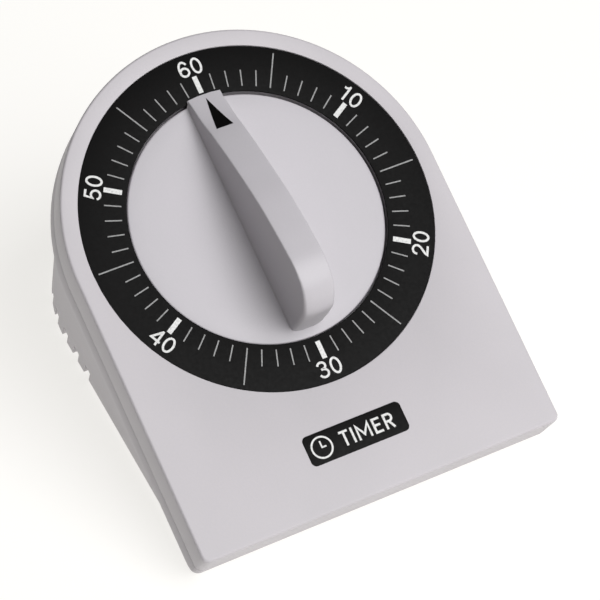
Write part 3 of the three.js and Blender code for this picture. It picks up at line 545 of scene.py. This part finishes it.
MATERIALS = {
    "shell_plastic": moulded_plastic("shell_plastic", (0.53, 0.503, 0.528), (0.5, 0.478, 0.5), 0.46),
    "knob_plastic": moulded_plastic("knob_plastic", (0.52, 0.497, 0.528), (0.495, 0.476, 0.503), 0.42),
    "black_print": black_print(),
    "rubber": rubber(),
    "brass": brushed_metal("brass", (0.78, 0.58, 0.25), (0.45, 0.3, 0.11), 0.32),
    "steel": brushed_metal("steel", (0.62, 0.62, 0.63), (0.36, 0.36, 0.37), 0.3, (12, 1, 12)),
    "spring_steel": brushed_metal("spring_steel", (0.2, 0.26, 0.36), (0.08, 0.1, 0.15), 0.3),
    "bell_metal": brushed_metal("bell_metal", (0.8, 0.79, 0.77), (0.6, 0.58, 0.55), 0.16, (3, 3, 3)),
}
WHITE_PRINT = pale_print("white_print", (0.52, 0.52, 0.52), (0.76, 0.76, 0.75))
GREY_PRINT = pale_print("grey_print", (0.2, 0.2, 0.2), (0.34, 0.34, 0.34))


# ---------------------------------------------------------------- case


def front_edge_stations():
    """(inset, depth) round the face's front edge, from the skirt's side to the flat of the face."""
    steps = 8
    stations = []
    for i in range(steps + 1):
        angle = math.pi / 2 * i / steps
        inset = EDGE_RADIUS * (1 - math.cos(angle))
        stations.append((inset, EDGE_RADIUS - EDGE_RADIUS * math.sin(angle)))
    return stations


def front_shell():
    """Face panel and skirt, the dial's seat and the knob's well, as one closed skin."""
    seat_radius = RING_OUTER + SEAT_GAP
    well_radius = RING_INNER + SEAT_WIDENING
    seat = RING_FRONT + RING_THICKNESS + SEAT_BEHIND
    # the sizes of the small roundings; a bend is the middle point of one
    seam_bend = SEAM_EDGE * 0.3
    rim, rim_bend = 0.12, 0.03
    ledge = 0.1
    floor_edge, floor_bend = 0.4, 0.12
    hole_edge = 0.2
    rings = [outline_ring(WALL, SHELL_DEPTH)]
    rings += [outline_ring(inset, SHELL_DEPTH - depth) for inset, depth in (
        (SEAM_EDGE, 0), (seam_bend, seam_bend), (0, SEAM_EDGE),
    )]
    rings += [outline_ring(*station) for station in front_edge_stations()]
    rings.append(outline_ring(EDGE_RADIUS + FACE_MARGIN, 0))
    circles = (
        (seat_radius + rim, 0), (seat_radius + rim_bend, rim_bend), (seat_radius, rim),
        (seat_radius, seat), (well_radius + ledge, seat),
        (well_radius, seat + ledge), (well_radius, WELL_FLOOR - floor_edge),
        (well_radius - floor_bend, WELL_FLOOR - floor_bend), (well_radius - floor_edge, WELL_FLOOR),
        (HUB_HOLE + hole_edge, WELL_FLOOR), (HUB_HOLE, WELL_FLOOR + hole_edge),
        (HUB_HOLE, SHELL_DEPTH), (well_radius + WALL, SHELL_DEPTH),
        (well_radius + WALL, FACE_THICKNESS),
    )
    rings += [round_ring(radius, depth) for radius, depth in circles]
    rings.append(outline_ring(WALL, FACE_THICKNESS))
    mesh = mesh_of(lofted(rings, closed=True), "front_shell_skin")
    new_piece(
        "front_shell_skin", mesh, MATERIALS["shell_plastic"], "case",
        ["front_shell"],
    )


def base_depth(y):
    """Depth of the case's base behind the face, at a height y up the face."""
    return FRONT_DEPTH + (y - FACE_BOTTOM) * math.tan(TILT)


def wall_half_width(y):
    """Half the width of the housing's foot at a height y up the face."""
    radius = HALF_WIDTH - HOUSING_INSET - (base_depth(y) - FLANGE_BACK) * HOUSING_DRAFT
    return math.sqrt(radius * radius - y * y) if y > 0 else radius


def notch_meshes(back):
    """Cutters for one sound outlet in each side wall: slots square to the face, open at the base."""
    y = FACE_BOTTOM + back * math.cos(TILT)
    inner = wall_half_width(y) - WALL - CUT_MARGIN
    half = NOTCH_WIDTH / 2
    top = NOTCH_LENGTH - base_depth(y)
    cutters = []
    for low, high in ((-HALF_WIDTH, -inner), (inner, HALF_WIDTH)):
        box = box_bmesh((low, y - half, -HOUSING_BACK), (high, y + half, top))
        cutters.append(mesh_of(box, "notch"))
    return cutters


def rear_housing():
    """The flush flange, sloping shoulder and drafted wall, cut off along the base and notched there."""
    front = SHELL_DEPTH + SEAM
    seam_bend = 0.02
    flange_stations = [
        (WALL + HOUSING_INSET, front), (SEAM_EDGE, front),
        (seam_bend, front + seam_bend), (0, front + SEAM_EDGE),
        (0, FLANGE_BACK - EASE), (0.04, FLANGE_BACK), (0.3, FLANGE_BACK + EASE),
    ]
    rings = [outline_ring(inset, depth) for inset, depth in flange_stations]
    rings += [housing_ring(inset, SHOULDER_BACK + depth) for inset, depth in (
        (-0.18, -EASE), (-0.06, 0), (0, EASE),
    )]
    straight = HOUSING_BACK - SHOULDER_BACK
    rings += [
        housing_ring(0, SHOULDER_BACK + straight * i / WALL_STEPS) for i in range(1, WALL_STEPS + 1)
    ]
    rings.append(housing_ring(WALL, HOUSING_BACK))
    rings.append(housing_ring(WALL, FLANGE_BACK))
    whole = mesh_of(lofted(rings, closed=True), "rear_housing_skin")
    below = mesh_of(box_bmesh(*UNDER_CASE), "below", BASE)
    notches = []
    for i in range(NOTCH_COUNT):
        notches += notch_meshes(FIRST_NOTCH + i * NOTCH_PITCH)
    cut = cut_by(whole, [below, *notches], "rear_housing_skin")
    new_piece(
        "rear_housing_skin", bevelled(cut, HOUSING_BEVEL), MATERIALS["shell_plastic"],
        "case", ["rear_housing"],
    )


def dial_ring():
    """The flat black ring that carries the numerals and ticks."""
    front = -RING_FRONT
    back = front - RING_THICKNESS
    profile = rounded([
        (RING_INNER, front), (RING_OUTER, front), (RING_OUTER, back), (RING_INNER, back),
    ], RING_ROUNDING)
    mesh = mesh_of(turned(profile, RING_STEPS), "dial_ring_skin")
    new_piece(
        "dial_ring_skin", mesh, MATERIALS["black_print"], "case", ["dial_ring"],
    )


def minute_turn(minute):
    """The turn from the top of the dial to a minute, clockwise."""
    return Matrix.Rotation(-2 * math.pi * minute / 60, 4, "Z")


def minute_kind(minute):
    if minute % 10 == 0:
        return "ten"
    return "five" if minute % 5 == 0 else "minute"


def added(bm, other):
    """Puts another bmesh's faces into the first, and frees the other."""
    scratch = bpy.data.meshes.new("scratch")
    other.to_mesh(scratch)
    other.free()
    bm.from_mesh(scratch)
    bpy.data.meshes.remove(scratch)


def dial_ticks(kinds, name, material):
    """Thin bars at those minutes of the dial that are of the given kinds, clockwise from the top."""
    bm = bmesh.new()
    top = PRINT_PROUD - RING_FRONT
    for minute in range(60):
        kind = minute_kind(minute)
        if kind in kinds:
            half = TICK_WIDTH[kind] / 2
            low = (-half, TICK_INNER, top - PRINT_THICKNESS)
            bar = box_bmesh(low, (half, TICK_OUTER[kind], top))
            bar.transform(minute_turn(minute))
            added(bm, bar)
    new_piece(name, mesh_of(bm, name), material, "case")


def arc(centre, radii, start, end, steps=14):
    """Points of an elliptical arc, with angles in degrees."""
    points = []
    for i in range(steps + 1):
        angle = math.radians(start + (end - start) * i / steps)
        points.append((centre[0] + radii[0] * math.cos(angle), centre[1] + radii[1] * math.sin(angle)))
    return points


# Each character is one or more pen strokes in a cell one unit high; a loop ends where it starts.
STROKES = {
    "0": [arc((0.33, 0.5), (0.26, 0.435), 0, 360, 32)],
    "1": [[(0.4, 0), (0.4, 1)], [(0.4, 0.93), (0.34, 0.84), (0.26, 0.79), (0.1, 0.77)]],
    "2": [
        [(0.07, 0.66), *arc((0.33, 0.7), (0.255, 0.235), 170, -25),
         (0.5, 0.49), (0.34, 0.35), (0.16, 0.19), (0.09, 0.065), (0.62, 0.065)],
    ],
    "3": [
        [*arc((0.32, 0.735), (0.235, 0.2), 170, -80), *arc((0.32, 0.3), (0.265, 0.235), 80, -168)],
        [(0.22, 0.535), (0.37, 0.535)],
    ],
    "4": [[(0.5, 0), (0.5, 0.97)], [(0.49, 0.93), (0.07, 0.3), (0.66, 0.27)]],
    "5": [
        [(0.58, 0.93), (0.19, 0.93), (0.13, 0.5), *arc((0.33, 0.33), (0.265, 0.265), 125, -160)],
    ],
    "6": [
        arc((0.33, 0.31), (0.255, 0.245), 0, 360, 26),
        arc((0.345, 0.47), (0.275, 0.465), 200, 35, 16),
    ],
    "M": [[(0.07, 0), (0.07, 0.93), (0.48, 0.28), (0.89, 0.93), (0.89, 0)]],
    "I": [[(0.07, 0), (0.07, 1)]],
    "T": [[(0.3, 0), (0.3, 0.93)], [(0, 0.93), (0.6, 0.93)]],
    "E": [[(0.56, 0.07), (0.07, 0.07), (0.07, 0.93), (0.55, 0.93)], [(0.1, 0.52), (0.5, 0.52)]],
    "R": [
        [(0.07, 0), (0.07, 0.93), (0.34, 0.93), *arc((0.36, 0.705), (0.2, 0.225), 75, -75, 8),
         (0.34, 0.48), (0.1, 0.48)],
        [(0.32, 0.46), (0.56, 0)],
    ],
}
ADVANCE = {"1": 0.72, "M": 1.17, "I": 0.34, "R": 0.79, "T": 0.79, "E": 0.79}
PLAIN_ADVANCE = 0.8
CELL_GAP = 0.14  # blank at the end of a character's cell


def stroke_bmesh(points, half, top):
    """One pen stroke as a flat ribbon with mitred corners."""
    sharpest_mitre = 0.45
    under = top - PRINT_THICKNESS
    loop = (Vector(points[0]) - Vector(points[-1])).length < 1e-6
    path = [Vector(point) for point in (points[:-1] if loop else points)]
    count = len(path)
    rings = []
    for i, here in enumerate(path):
        before = path[i - 1] if loop or i > 0 else here * 2 - path[i + 1]
        after = path[(i + 1) % count] if loop or i < count - 1 else here * 2 - before
        back = (here - before).normalized()
        ahead = (after - here).normalized()
        along = (back + ahead).normalized()
        side = Vector((-along.y, along.x)) * half / max(along.dot(ahead), sharpest_mitre)
        left, right = here + side, here - side
        rings.append([
            Vector((*left, top)), Vector((*right, top)),
            Vector((*right, under)), Vector((*left, under)),
        ])
    return lofted(rings, closed=loop)


def written(text, height, weight, top):
    """Text as flat strokes, centred. Crossing strokes lie at slightly different heights."""
    width = sum(ADVANCE.get(letter, PLAIN_ADVANCE) for letter in text[:-1])
    width += ADVANCE.get(text[-1], PLAIN_ADVANCE) - CELL_GAP
    bm = bmesh.new()
    start = -width / 2
    for letter in text:
        for level, stroke in enumerate(STROKES[letter]):
            points = [((start + x) * height, (y - 0.5) * height) for x, y in stroke]
            added(bm, stroke_bmesh(points, weight * height / 2, top - STROKE_STEP * level))
        start += ADVANCE.get(letter, PLAIN_ADVANCE)
    return bm


def numerals():
    """10 to 60 round the dial. The upper three read from the middle, the lower three from outside."""
    for tens in range(1, 7):
        minute = tens * 10
        bm = written(str(minute), NUMERAL_HEIGHT, NUMERAL_WEIGHT, PRINT_PROUD - RING_FRONT)
        upside = math.pi if minute in (20, 30, 40) else 0
        bm.transform(Matrix.Rotation(upside, 4, "Z"))
        bm.transform(Matrix.Translation((0, NUMERAL_RADIUS, 0)))
        bm.transform(minute_turn(minute))
        name = f"numeral_{minute}"
        new_piece(name, mesh_of(bm, name), WHITE_PRINT, "case")


def rounded_rectangle(centre, half, corner):
    """Points of a rectangle's outline with round corners; half is its half-width and half-height."""
    steps = 8
    points = []
    for quarter, (sx, sy) in enumerate(((1, 1), (-1, 1), (-1, -1), (1, -1))):
        hub = (centre[0] + sx * (half[0] - corner), centre[1] + sy * (half[1] - corner))
        for i in range(steps + 1):
            angle = math.pi / 2 * (quarter + i / steps)
            points.append((hub[0] + corner * math.cos(angle), hub[1] + corner * math.sin(angle)))
    return points


def badge():
    """A plain black plate with rounded edges."""
    front = BADGE_FRONT
    bend = (0.04, 0.02)
    stations = (
        (0, BADGE_BACK), (0, front - BADGE_EDGE), (bend[0], front - bend[1]), (BADGE_EDGE, front),
    )
    rings = []
    for inset, z in stations:
        half = [size - inset for size in BADGE_HALF]
        outline = rounded_rectangle(BADGE_CENTRE, half, BADGE_CORNER - inset)
        rings.append([Vector((x, y, z)) for x, y in outline])
    mesh = mesh_of(lofted(rings), "badge_plate")
    new_piece("badge_plate", mesh, MATERIALS["black_print"], "case", ["badge"])


def badge_print():
    """The object's plain name and a clock sign on the badge, in white."""
    top = BADGE_FRONT + PRINT_PROUD
    word = written(WORD, WORD_HEIGHT, WORD_WEIGHT, top)
    word.transform(Matrix.Translation((BADGE_CENTRE[0] + WORD_X, BADGE_CENTRE[1], 0)))
    new_piece("badge_word", mesh_of(word, "badge_word"), WHITE_PRINT, "case")
    half = WORD_WEIGHT * WORD_HEIGHT / 2
    rim = arc((0, 0), (SIGN_RADIUS, SIGN_RADIUS), 0, 360, 48)
    sign = stroke_bmesh(rim, half * SIGN_RIM_WEIGHT, top)
    hands = [(0, SIGN_RADIUS * SIGN_HANDS[0]), (0, 0), (SIGN_RADIUS * SIGN_HANDS[1], 0)]
    added(sign, stroke_bmesh(hands, half * SIGN_HAND_WEIGHT, top))
    sign.transform(Matrix.Translation((SIGN_X, BADGE_CENTRE[1], 0)))
    new_piece("badge_sign", mesh_of(sign, "badge_sign"), WHITE_PRINT, "case")


# ---------------------------------------------------------------- knob


def lerp(a, b, t):
    return a + (b - a) * t


def crest_curve():
    """The grip's ridge line and thumb end, as a smooth curve through GRIP_CREST's points."""
    steps = 6
    points = [Vector(point) for point in GRIP_CREST]
    last = len(points) - 1
    made = []
    for i in range(last):
        here, there = points[i], points[i + 1]
        before = points[max(i - 1, 0)]
        beyond = points[min(i + 2, last)]
        for k in range(steps):
            t = k / steps
            made.append((
                here * 2 + (there - before) * t + (before * 2 - here * 5 + there * 4 - beyond) * t * t
                + (here * 3 - before - there * 3 + beyond) * t ** 3
            ) / 2)
    made.append(points[last])
    return made


def crest_height(y):
    """Height of the ridge line above a point on the pointer's side of the grip."""
    curve = crest_curve()
    for start, end in zip(curve, curve[1:]):
        if end.x <= y:
            return lerp(start.y, end.y, (start.x - y) / (start.x - end.x))
    return curve[-1].y


def grip_half(y, height):
    """The grip's half-width: it narrows towards the thumb end and towards the crest."""
    for front, back in zip(GRIP_SIDES, GRIP_SIDES[1:]):
        if y >= back[0]:
            break
    t = (front[0] - y) / (front[0] - back[0])
    foot, crest, top = (lerp(front[k], back[k], t) for k in (1, 2, 3))
    return lerp(foot, crest, (height + KNOB_TOP) / (top + KNOB_TOP))


def grip_section(point, normal, foot):
    """One section: left foot, side, rounded edge, crest, and down again; foot is a (y, z) point."""
    side_steps, corner_steps = 6, 5
    corner_share, fillet_share, fillet_bend, crown_share = 0.3, 0.2, 0.3, 0.4
    least_rise, least_slope = 0.02, 0.05
    y, height = point
    rise = height - foot[1]
    thumb = min(max((THUMB_FROM - y) / THUMB_LENGTH, 0), 1)
    room = max(rise, least_rise) * corner_share / max(normal.y, least_slope)
    corner = min(lerp(*CREST_ROUNDING, thumb), room)
    foot = (foot[0] - normal.x * corner * thumb, foot[1])
    half = grip_half(y, height)
    base = grip_half(*foot)
    step = min(GRIP_FILLET, max(rise, 0) * fillet_share)
    outline = [
        (base + step, *foot), (base + step * fillet_bend, foot[0], foot[1] + step * fillet_bend),
        (base, foot[0], foot[1] + step),
    ]
    side = (half, y - normal.x * corner, max(height - normal.y * corner, foot[1] + step))
    for i in range(1, side_steps):
        outline.append(tuple(lerp(a, b, i / side_steps) for a, b in zip(outline[2], side)))
    for i in range(corner_steps + 1):
        angle = math.pi / 2 * i / corner_steps
        sunk = corner * (1 - math.sin(angle))
        x = half - corner + corner * math.cos(angle)
        outline.append((x, y - normal.x * sunk, max(height - normal.y * sunk, foot[1])))
    outline.append((half * crown_share, y + normal.x * CREST_CROWN, height + normal.y * CREST_CROWN))
    left = [Vector((-x, y, z)) for x, y, z in outline]
    right = [Vector((x, y, z)) for x, y, z in reversed(outline)]
    return left + right


def grip_mesh():
    """The raised grip. Both ends are round in plan, and the pointer's reaches over the dial ring."""
    curve = crest_curve()
    rings = []
    for i, point in enumerate(curve):
        before, after = curve[max(i - 1, 0)], curve[min(i + 1, len(curve) - 1)]
        along = (after - before).normalized()
        normal = Vector((along.y, -along.x))
        lifted = point.x > LIP_FROM
        foot = (point.x, GRIP_LIP) if lifted else (max(point.x, GRIP_FOOT[0]), GRIP_FOOT[1])
        ring = grip_section(point, normal, foot)
        nose = max(NOSE_FROM - point.x, 0) * NOSE_ROUNDING
        for corner in ring:
            if corner.y > 0:
                corner.y *= math.sqrt(1 - (corner.x / GRIP_REACH) ** 2)
            corner.y += nose * corner.x ** 2
        rings.append(ring)
    return lofted(rings)


def knob():
    """Disc, hub and grip as one moulding."""
    top = -KNOB_TOP
    back = -KNOB_TOP - KNOB_THICKNESS
    profile = rounded([
        *((radius, top) for radius in DISC_RINGS), (KNOB_RADIUS, top), (KNOB_RADIUS, back),
        (HUB_RADIUS, back), (HUB_RADIUS, -HUB_BACK), (BORE_RADIUS, -HUB_BACK),
        (BORE_RADIUS, -BORE_TOP), (0, -BORE_TOP), (0, top),
    ], KNOB_ROUNDING)
    whole = turned(profile, KNOB_STEPS)
    added(whole, grip_mesh())
    new_piece(
        "knob_moulding", mesh_of(whole, "knob_moulding"), MATERIALS["knob_plastic"], "knob_set",
        ["knob"],
    )


def pointer():
    """Black triangle inlaid in the grip's crest."""
    steps = 16
    tip_half = 0.02
    rings = []
    for i in range(steps + 1):
        y = lerp(POINTER_BASE, POINTER_TIP, i / steps)
        half = max(POINTER_HALF * (1 - i / steps), tip_half)
        top = crest_height(y) + POINTER_PROUD
        under = top - POINTER_THICKNESS
        rings.append([
            Vector((-half, y, under)), Vector((half, y, under)),
            Vector((half, y, top)), Vector((-half, y, top)),
        ])
    mesh = mesh_of(lofted(rings), "pointer_inlay")
    new_piece(
        "pointer_inlay", mesh, MATERIALS["black_print"], "knob_set",
        ["pointer_mark"],
    )


# ---------------------------------------------------------------- underside


def place_of(node):
    """A CAD node's centre in plan, its underside and its top, in millimetres."""
    low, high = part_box(node)
    return ((low.x + high.x) / 2 / MM, (low.y + high.y) / 2 / MM), low.z / MM, high.z / MM


def feet():
    """Turned rubber discs with a softened edge and a shallow hollow in the sole."""
    for i in range(1, 5):
        centre, _, top = place_of(f"foot_{i}")
        radius = half_span(f"foot_{i}")
        profile = rounded([
            (0, FOOT_HOLLOW), (radius * 0.45, FOOT_HOLLOW), (radius * 0.52, 0), (radius * 0.92, 0),
            (radius, FOOT_CHAMFER), (radius, top), (0, top),
        ], FOOT_ROUNDING)
        name = f"foot_pad_{i}"
        mesh = mesh_of(turned(profile, FOOT_STEPS, centre), name, TABLE)
        new_piece(name, mesh, MATERIALS["rubber"], "case", [f"foot_{i}"])


def slot_cutter(centre, low, high):
    """A bar that cuts the slot across a base screw's head."""
    left, front = centre[0] - SCREW_SLOT_HALF[0], centre[1] - SCREW_SLOT_HALF[1]
    right, back = centre[0] + SCREW_SLOT_HALF[0], centre[1] + SCREW_SLOT_HALF[1]
    return mesh_of(box_bmesh((left, front, low), (right, back, high)), "slot", TABLE)


def base_screws():
    """Screws driven up through the base plate, with low crowned heads."""
    for i in range(1, 5):
        centre, foot, top = place_of(f"base_screw_{i}")
        head_top = foot + SCREW_HEAD_THICKNESS
        profile = rounded([
            (0, foot), (SCREW_HEAD_FLAT, foot), (SCREW_HEAD_RADIUS, foot + SCREW_HEAD_CROWN),
            (SCREW_HEAD_RADIUS, head_top), (SCREW_RADIUS, head_top), (SCREW_RADIUS, top), (0, top),
        ], SCREW_ROUNDING)
        name = f"base_screw_head_{i}"
        blank = mesh_of(turned(profile, SCREW_STEPS, centre), name, TABLE)
        slot = slot_cutter(centre, foot - CUT_MARGIN, foot + SCREW_SLOT_DEPTH)
        made = cut_by(blank, [slot], name)
        new_piece(name, made, MATERIALS["steel"], "case", [f"base_screw_{i}"])


def carried_over():
    """CAD nodes whose shape is right keep it and get a finished surface."""
    slots = {row["node"]: row["material_slot"] for row in frame["record"]["subparts"]}
    for name, node in frame["nodes"].items():
        if not node.hide_render:
            node.data.materials.clear()
            node.data.materials.append(MATERIALS[slots[name]])


# ---------------------------------------------------------------- stage


FLOOR_HALF = 3000  # the floor's sizes are in millimetres
FLOOR_THICKNESS = 20
FLOOR_TOP = -0.02

# The key light, in degrees, metres and watts
KEY_AZIMUTH = 26  # to the right of the timer's front
KEY_ELEVATION = 47
KEY_DISTANCE = 1.2
KEY_SIZE = 1.0
KEY_POWER = 17.6
SURROUND_STRENGTH = 0.1


def floor_material():
    """Plain and pale; it glows a little, so that it stays near white under a soft light."""
    recipe = Recipe("floor")
    recipe.set(Base_Color=(0.3, 0.3, 0.3, 1), Roughness=0.9, Specular_IOR_Level=0.1)
    recipe.set(Emission_Color=(1, 0.985, 0.95, 1), Emission_Strength=0.78)
    return recipe.material


def floor():
    low = (-FLOOR_HALF, -FLOOR_HALF, -FLOOR_THICKNESS)
    block = box_bmesh(low, (FLOOR_HALF, FLOOR_HALF, FLOOR_TOP))
    mesh = mesh_of(block, "floor", TABLE)
    plane = bpy.data.objects.new("floor", mesh)
    bpy.context.scene.collection.objects.link(plane)
    mesh.materials.append(floor_material())


def area_light(name, azimuth, elevation, distance, size, power):
    """A square soft light aimed at the dial, placed by angles in degrees."""
    light = bpy.data.lights.new(name, "AREA")
    light.size = size
    light.energy = power
    lamp = bpy.data.objects.new(name, light)
    bpy.context.scene.collection.objects.link(lamp)
    a, e = math.radians(azimuth), math.radians(elevation)
    toward = Vector((math.sin(a) * math.cos(e), -math.cos(a) * math.cos(e), math.sin(e)))
    lamp.location = DIAL_CENTRE + toward * distance
    lamp.rotation_euler = (-toward).to_track_quat("-Z", "Y").to_euler()


def lights():
    """One large soft key light, and an even white surround."""
    area_light("key", KEY_AZIMUTH, KEY_ELEVATION, KEY_DISTANCE, KEY_SIZE, KEY_POWER)
    world = bpy.data.worlds.new("studio")
    world.use_nodes = True
    background = world.node_tree.nodes["Background"]
    background.inputs["Color"].default_value = (1, 1, 1, 1)
    background.inputs["Strength"].default_value = SURROUND_STRENGTH
    bpy.context.scene.world = world


# The view, in degrees and metres. The aim is a little right of and below the dial's centre.
VIEW_AZIMUTH = 29.15
VIEW_ELEVATION = 42.92
VIEW_DISTANCE = 0.653
AIM_RIGHT = 0.00871
AIM_DOWN = 0.0180
LENS = 183.8


def camera():
    """Looks down at the timer from its front left, level, with a long lens."""
    a, e = math.radians(VIEW_AZIMUTH), math.radians(VIEW_ELEVATION)
    forward = Vector((math.sin(a) * math.cos(e), math.cos(a) * math.cos(e), -math.sin(e)))
    right = Vector((math.cos(a), -math.sin(a), 0))
    up = right.cross(forward)
    lens = bpy.data.cameras.new("camera")
    lens.lens = LENS
    lens.sensor_width = 36
    viewer = bpy.data.objects.new("camera", lens)
    bpy.context.scene.collection.objects.link(viewer)
    aim = DIAL_CENTRE + right * AIM_RIGHT - up * AIM_DOWN
    viewer.location = aim - forward * VIEW_DISTANCE
    viewer.rotation_euler = forward.to_track_quat("-Z", "Y").to_euler()
    bpy.context.scene.camera = viewer
    bpy.context.scene.view_settings.view_transform = "Standard"


# ---------------------------------------------------------------- scene

camera()
lights()
floor()
front_shell()
rear_housing()
dial_ring()
dial_ticks(("ten",), "ten_minute_ticks", WHITE_PRINT)
dial_ticks(("minute", "five"), "minute_ticks", GREY_PRINT)
numerals()
badge()
badge_print()
knob()
pointer()
feet()
base_screws()
carried_over()
